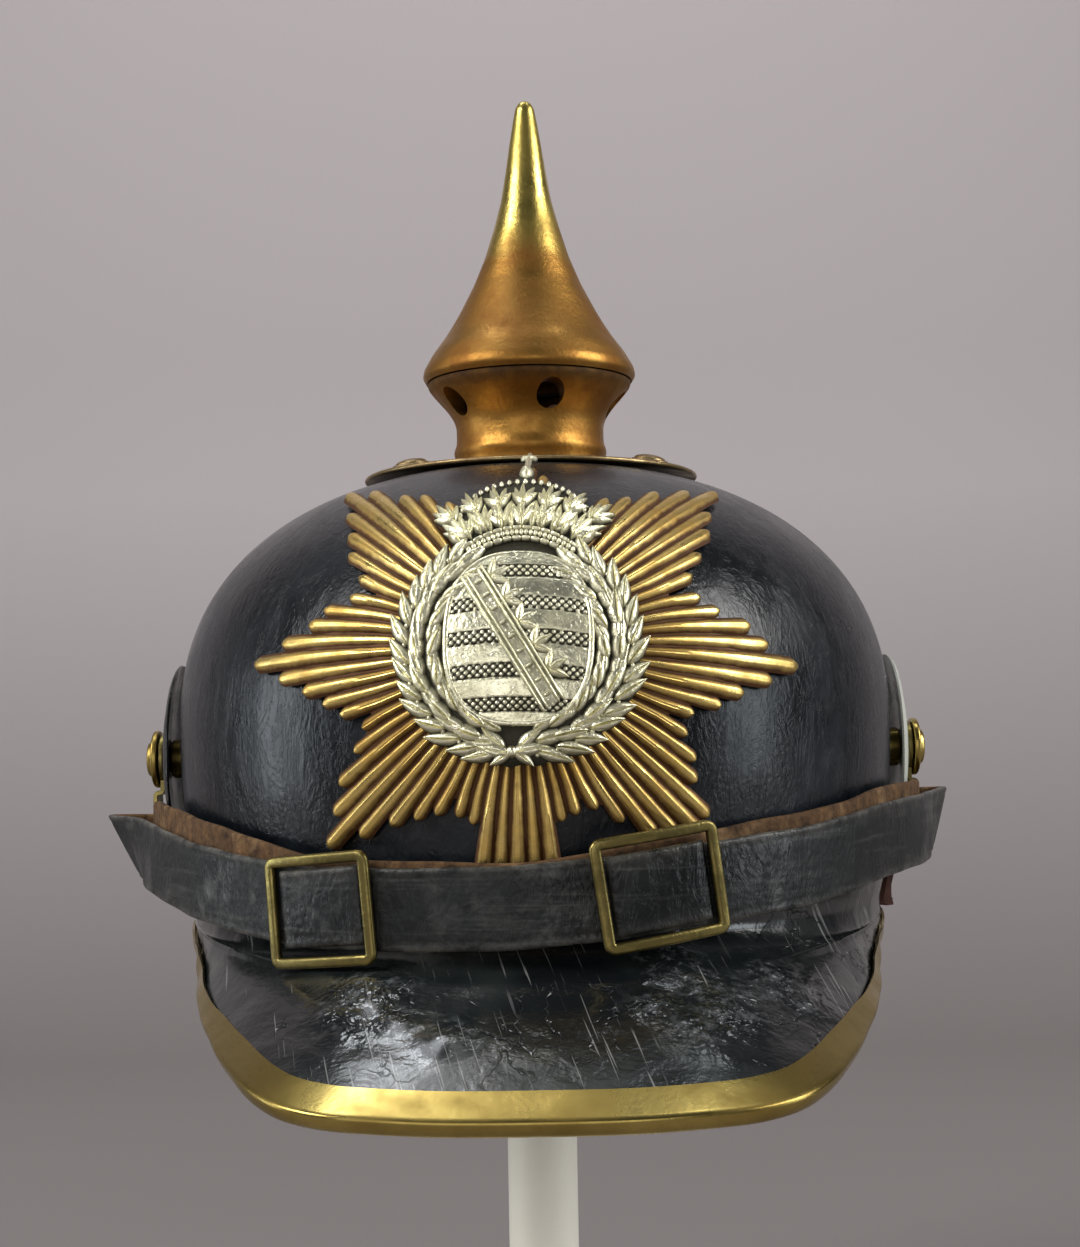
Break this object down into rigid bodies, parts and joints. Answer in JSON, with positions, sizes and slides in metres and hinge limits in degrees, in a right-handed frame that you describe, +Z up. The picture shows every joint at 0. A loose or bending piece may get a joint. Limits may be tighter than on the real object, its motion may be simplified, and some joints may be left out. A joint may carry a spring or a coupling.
{
  "type": "spiked leather helmet on display stand",
  "caption": "Leather pickelhaube with brass spike, ribbed star, silver arms and buckled chin strap, on a plain white post stand.",
  "frame": {"origin": "middle of the stand's foot, on the surface that it stands on", "axes": "+Z up, the helmet's front and peak face -Y, the wearer's left side is +X"},
  "size_m": [0.2189, 0.2953, 0.3648],
  "materials": {
    "crown_leather": "black lacquered leather, worn and finely wrinkled",
    "brim_leather": "black glossy lacquer, crazed",
    "brass": "old brass, part polished",
    "spike_brass": "brass with reddish brown tarnish",
    "star_brass": "gilt brass with dark grooves",
    "nickel_silver": "pale nickel silver with dark recesses",
    "olive_brass": "dull olive brass",
    "dark_lacquer": "black lacquer",
    "white_lacquer": "white lacquer with a green ring",
    "strap_leather": "matt charcoal grain side, tan flesh side",
    "stand_white": "white paint"
  },
  "bodies": {
    "root": {"crown_shell": "crown_leather", "front_visor": "brim_leather", "rear_visor": "brim_leather", "visor_trim": "brass", "rear_spine": "brass", "base_plate": "brass", "base_stud_1": "brass", "base_stud_2": "brass", "base_stud_3": "brass", "base_stud_4": "brass", "spike_neck": "spike_brass", "spike_cone": "spike_brass", "star_plate": "star_brass", "arms_overlay": "nickel_silver", "cockade_dark": "dark_lacquer", "cockade_white": "white_lacquer", "side_post_left": "brass", "side_post_right": "brass", "strap_lug_left": "olive_brass", "strap_lug_right": "olive_brass", "chin_strap": "strap_leather", "buckle_left": "olive_brass", "buckle_right": "olive_brass", "stand_base": "stand_white", "stand_post": "stand_white", "stand_pad": "stand_white"}
  },
  "joints": []
}
